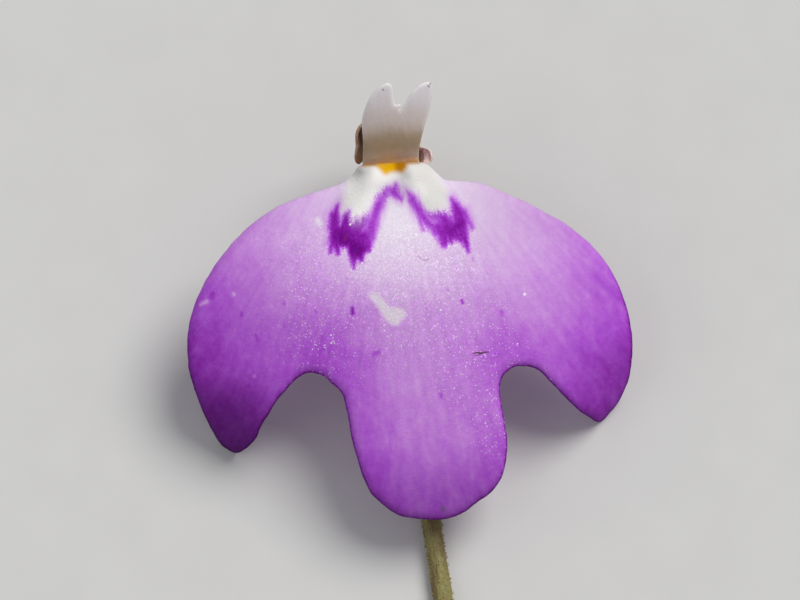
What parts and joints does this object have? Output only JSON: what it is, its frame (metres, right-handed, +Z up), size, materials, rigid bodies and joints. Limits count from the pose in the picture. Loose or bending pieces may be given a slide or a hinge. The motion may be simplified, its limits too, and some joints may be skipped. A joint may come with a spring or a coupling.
{
  "type": "bladderwort flower",
  "caption": "Picked bladderwort flower lying face up: three-lobed purple lower lip with white palate, small eared upper lip, spur, calyx and cut stalk.",
  "frame": {"origin": "middle of the flat strip under the pedicel, where the flower lies on the surface", "axes": "+Z up from the surface, +Y from the cut end of the stalk towards the top of the flower, +X to the right as the flower is looked down on"},
  "size_m": [0.0141, 0.0194, 0.0072],
  "materials": {
    "petal_purple": "matte",
    "petal_white": "matte",
    "spur_mauve": "matte",
    "calyx_brown": "matte",
    "ovary_green": "matte",
    "anther_yellow": "matte",
    "stalk_olive": "matte",
    "bract_green": "matte"
  },
  "bodies": {
    "root": {"lower_lip": "petal_purple", "upper_lip": "petal_white", "spur": "spur_mauve", "calyx_upper_lobe": "calyx_brown", "calyx_lower_lobe": "calyx_brown", "pistil": "ovary_green", "stamen_left": "anther_yellow", "stamen_right": "anther_yellow", "pedicel": "stalk_olive", "scape": "stalk_olive", "bract": "bract_green", "bracteole_left": "bract_green", "bracteole_right": "bract_green"}
  },
  "joints": []
}
